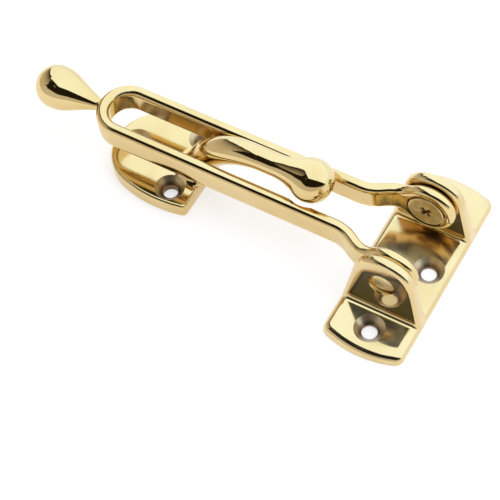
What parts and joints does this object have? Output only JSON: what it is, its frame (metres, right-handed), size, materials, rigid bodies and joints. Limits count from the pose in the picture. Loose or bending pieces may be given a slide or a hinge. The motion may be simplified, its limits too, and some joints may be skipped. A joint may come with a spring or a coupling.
{
  "type": "swing-bar door guard",
  "caption": "Swing-bar door guard: a looped bar with a turned knob, hinged in a two-eared bracket, and a keeper plate with a ball on a bent arm that stands in the bar's slot.",
  "frame": {"origin": "centre of the bracket's mounting face, below the hinge axis and midway between the ears", "axes": "+X along the bar from the knob towards the hinge, +Y along the hinge axis, +Z away from the door"},
  "size_m": [0.137, 0.065, 0.0299],
  "materials": {
    "polished_brass": "polished and lacquered",
    "screw_brass": "turned, with fine tool marks"
  },
  "bodies": {
    "bracket": {"bracket": "polished_brass", "pivot_screw_near": "screw_brass", "pivot_screw_far": "screw_brass", "keeper": "polished_brass"},
    "swing_bar": {"swing_bar": "polished_brass"}
  },
  "joints": [
    {"name": "bar_swing", "type": "hinge", "parent": "bracket", "child": "swing_bar", "pos_m": [0, 0, 0.0155], "axis": [0, 1, 0], "range_deg": [0, 180]}
  ]
}
